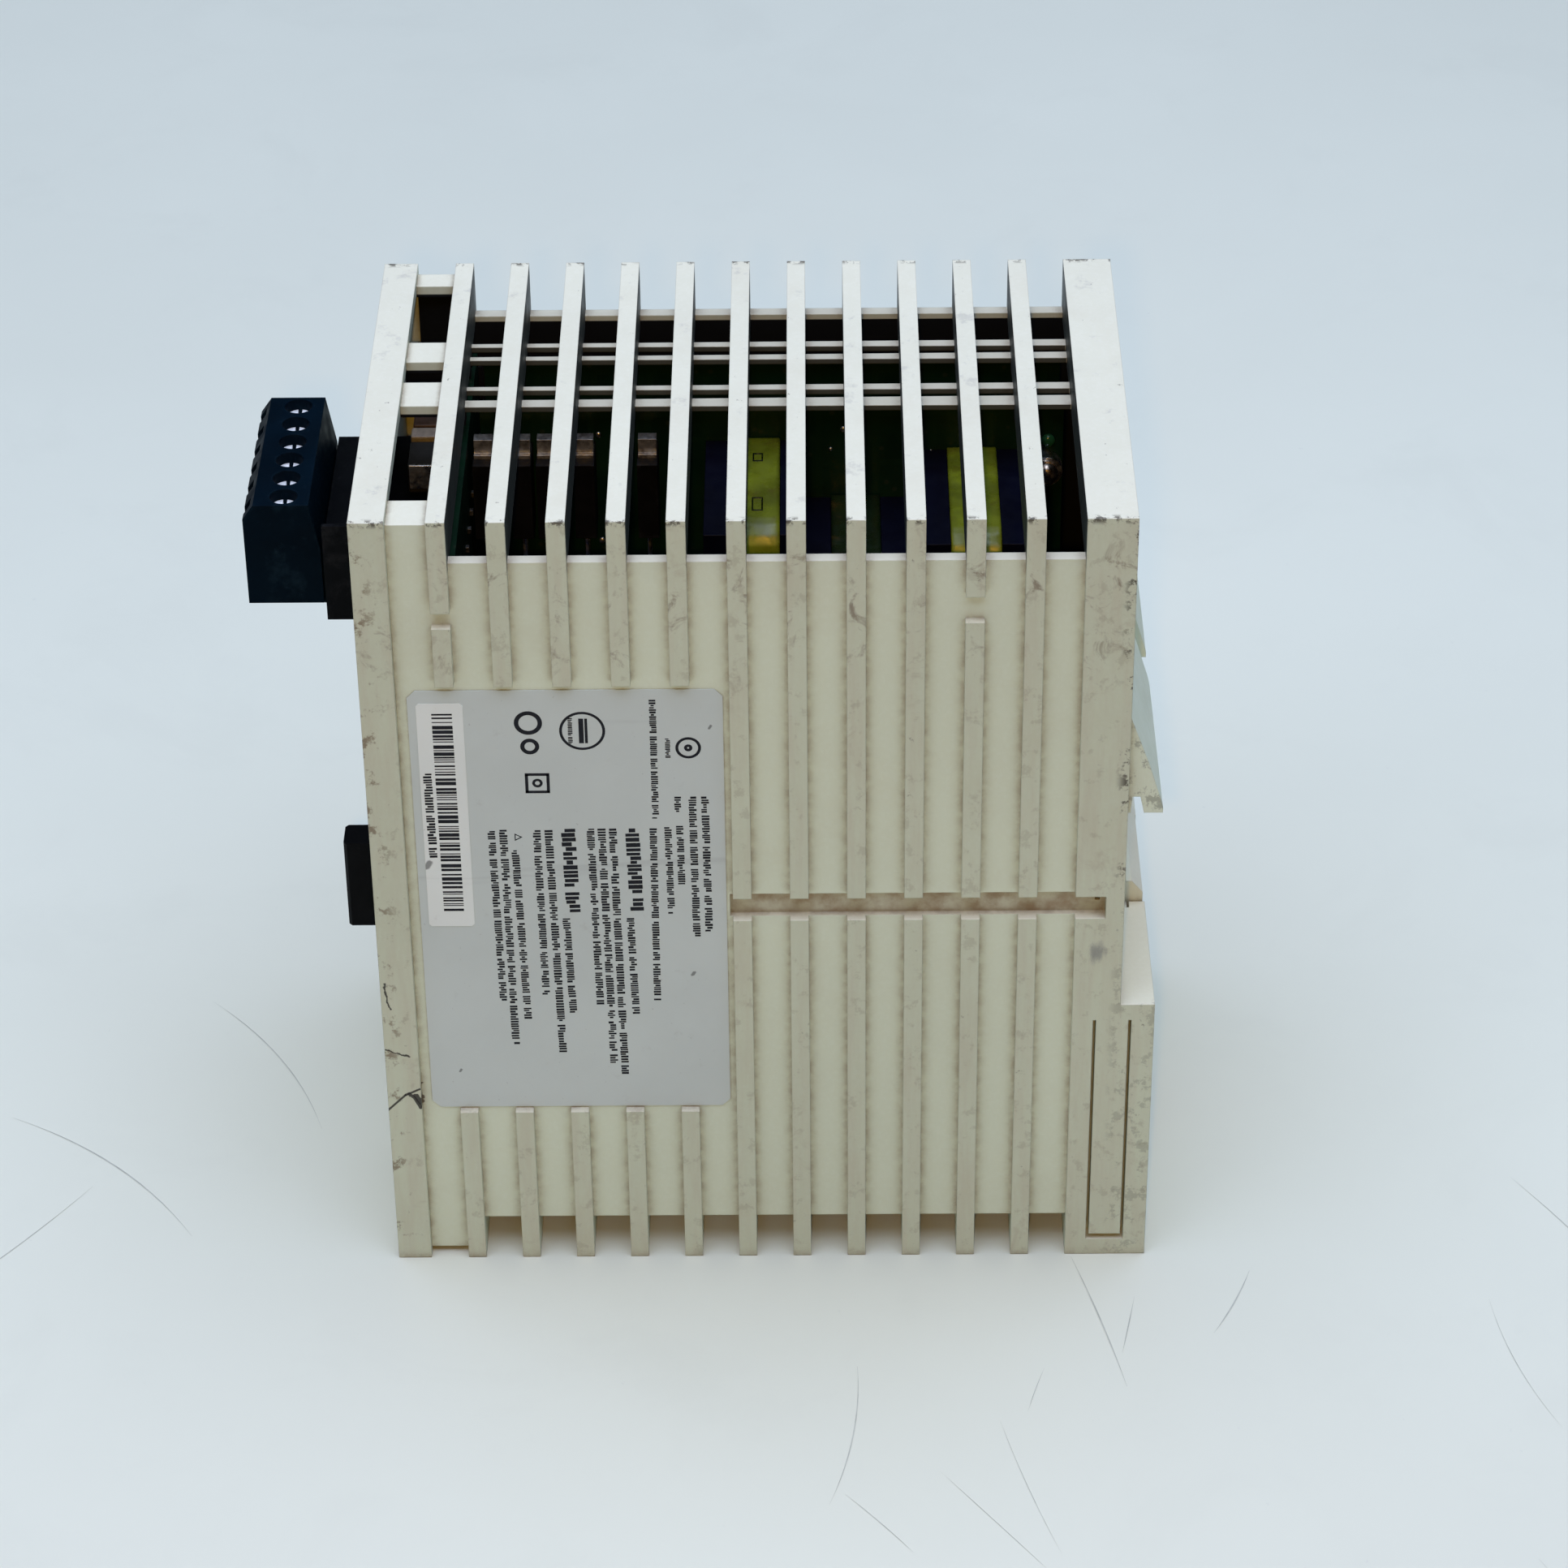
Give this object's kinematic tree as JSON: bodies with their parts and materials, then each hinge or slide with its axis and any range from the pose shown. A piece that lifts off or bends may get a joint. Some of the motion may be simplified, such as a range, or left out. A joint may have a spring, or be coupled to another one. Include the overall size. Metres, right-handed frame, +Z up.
{
  "type": "din rail power supply",
  "caption": "Upright ribbed plastic power supply module for a mounting rail, with a pluggable screw terminal, push button and sprung rail latch.",
  "frame": {"origin": "centre of the bounding box's underside, at the height of the rib feet", "axes": "+Z up, -Y out of the front cover, +Y towards the rail, +X out of the labelled side"},
  "size_m": [0.074, 0.1308, 0.131],
  "materials": {
    "case_plastic": "moulded, lightly textured, dusty",
    "label_film": "printed film, satin",
    "sticker_paper": "paper, matt",
    "spring_steel": "drawn wire",
    "header_plastic": "moulded, satin",
    "tinned_pins": "tinned",
    "switch_plastic": "moulded",
    "board_laminate": "solder mask, satin",
    "connector_plastic": "moulded",
    "ferrite": "ground ferrite",
    "winding_tape": "wrapped tape, satin",
    "package_epoxy": "moulded epoxy",
    "tinned_tab": "tinned, dull",
    "can_sleeve": "shrink sleeve over a can",
    "film_box": "moulded",
    "choke_copper": "enamelled wire",
    "fuse_ceramic": "ceramic tube",
    "screw_steel": "zinc plated, worn",
    "pipe_clear": "clear moulded",
    "led_resin": "cast resin",
    "trimmer_blue": "moulded",
    "rotor_white": "moulded",
    "latch_plastic": "moulded, satin",
    "plug_plastic": "moulded, satin",
    "contact_brass": "stamped",
    "button_plastic": "moulded, satin",
    "cage_steel": "zinc plated"
  },
  "bodies": {
    "case": {"housing_body": "case_plastic", "front_cover": "case_plastic", "rating_label": "label_film", "serial_sticker": "sticker_paper", "latch_spring": "spring_steel", "terminal_header": "header_plastic", "header_pins": "tinned_pins", "button_spring": "spring_steel", "button_switch": "switch_plastic", "front_board": "board_laminate", "main_board": "board_laminate", "second_board": "board_laminate", "board_link": "connector_plastic", "front_board_link": "connector_plastic", "transformer_core_1": "ferrite", "transformer_core_2": "ferrite", "transformer_core_3": "ferrite", "transformer_winding_1": "winding_tape", "transformer_winding_2": "winding_tape", "transformer_winding_3": "winding_tape", "power_packages": "package_epoxy", "package_tabs": "tinned_tab", "bulk_capacitors": "can_sleeve", "output_capacitors": "can_sleeve", "film_capacitor": "film_box", "line_choke": "choke_copper", "input_fuse": "fuse_ceramic", "bridge_rectifier": "package_epoxy", "control_chips": "package_epoxy", "signal_transistors": "package_epoxy", "board_screws": "screw_steel", "light_pipes": "pipe_clear", "indicator_leds": "led_resin", "trimmer_body": "trimmer_blue"},
    "latch": {"din_latch": "latch_plastic"},
    "plug": {"terminal_plug": "plug_plastic", "plug_contacts": "contact_brass"},
    "button": {"push_button": "button_plastic"},
    "trimmer": {"trimmer_rotor": "rotor_white"},
    "screw_1": {"terminal_screw_1": "screw_steel"},
    "screw_2": {"terminal_screw_2": "screw_steel"},
    "screw_3": {"terminal_screw_3": "screw_steel"},
    "screw_4": {"terminal_screw_4": "screw_steel"},
    "screw_5": {"terminal_screw_5": "screw_steel"},
    "screw_6": {"terminal_screw_6": "screw_steel"},
    "cage_1": {"clamp_cage_1": "cage_steel"},
    "cage_2": {"clamp_cage_2": "cage_steel"},
    "cage_3": {"clamp_cage_3": "cage_steel"},
    "cage_4": {"clamp_cage_4": "cage_steel"},
    "cage_5": {"clamp_cage_5": "cage_steel"},
    "cage_6": {"clamp_cage_6": "cage_steel"}
  },
  "joints": [
    {"name": "latch_slide", "type": "slide", "parent": "case", "child": "latch", "axis": [0, 0, -1], "range_m": [0, 0.005], "stiffness_N_per_m": 1500, "springref_m": -0.002, "deforming": ["latch_spring"]},
    {"name": "plug_pull", "type": "slide", "parent": "case", "child": "plug", "axis": [0, -1, 0], "range_m": [0, 0.015]},
    {"name": "button_push", "type": "slide", "parent": "case", "child": "button", "axis": [0, 1, 0], "range_m": [0, 0.0025], "stiffness_N_per_m": 500, "springref_m": -0.001, "deforming": ["button_spring"]},
    {"name": "trimmer_turn", "type": "hinge", "parent": "case", "child": "trimmer", "pos_m": [-0.012, -0.04005, 0.08], "axis": [0, 1, 0], "range_deg": [-130, 130]},
    {"name": "screw_turn_1", "type": "hinge", "parent": "plug", "child": "screw_1", "pos_m": [-0.0127, -0.05955, 0.116], "axis": [0, 0, -1], "range_deg": [0, 1080]},
    {"name": "screw_turn_2", "type": "hinge", "parent": "plug", "child": "screw_2", "pos_m": [-0.00762, -0.05955, 0.116], "axis": [0, 0, -1], "range_deg": [0, 1080]},
    {"name": "screw_turn_3", "type": "hinge", "parent": "plug", "child": "screw_3", "pos_m": [-0.00254, -0.05955, 0.116], "axis": [0, 0, -1], "range_deg": [0, 1080]},
    {"name": "screw_turn_4", "type": "hinge", "parent": "plug", "child": "screw_4", "pos_m": [0.00254, -0.05955, 0.116], "axis": [0, 0, -1], "range_deg": [0, 1080]},
    {"name": "screw_turn_5", "type": "hinge", "parent": "plug", "child": "screw_5", "pos_m": [0.00762, -0.05955, 0.116], "axis": [0, 0, -1], "range_deg": [0, 1080]},
    {"name": "screw_turn_6", "type": "hinge", "parent": "plug", "child": "screw_6", "pos_m": [0.0127, -0.05955, 0.116], "axis": [0, 0, -1], "range_deg": [0, 1080]},
    {"name": "cage_rise_1", "type": "slide", "parent": "plug", "child": "cage_1", "axis": [0, 0, 1], "range_m": [0, 0.0015]},
    {"name": "cage_rise_2", "type": "slide", "parent": "plug", "child": "cage_2", "axis": [0, 0, 1], "range_m": [0, 0.0015]},
    {"name": "cage_rise_3", "type": "slide", "parent": "plug", "child": "cage_3", "axis": [0, 0, 1], "range_m": [0, 0.0015]},
    {"name": "cage_rise_4", "type": "slide", "parent": "plug", "child": "cage_4", "axis": [0, 0, 1], "range_m": [0, 0.0015]},
    {"name": "cage_rise_5", "type": "slide", "parent": "plug", "child": "cage_5", "axis": [0, 0, 1], "range_m": [0, 0.0015]},
    {"name": "cage_rise_6", "type": "slide", "parent": "plug", "child": "cage_6", "axis": [0, 0, 1], "range_m": [0, 0.0015]}
  ],
  "couplings": [
    {"joint": "screw_turn_1", "follows": "cage_rise_1", "rad_per_m": 12565},
    {"joint": "screw_turn_2", "follows": "cage_rise_2", "rad_per_m": 12565},
    {"joint": "screw_turn_3", "follows": "cage_rise_3", "rad_per_m": 12565},
    {"joint": "screw_turn_4", "follows": "cage_rise_4", "rad_per_m": 12565},
    {"joint": "screw_turn_5", "follows": "cage_rise_5", "rad_per_m": 12565},
    {"joint": "screw_turn_6", "follows": "cage_rise_6", "rad_per_m": 12565}
  ]
}
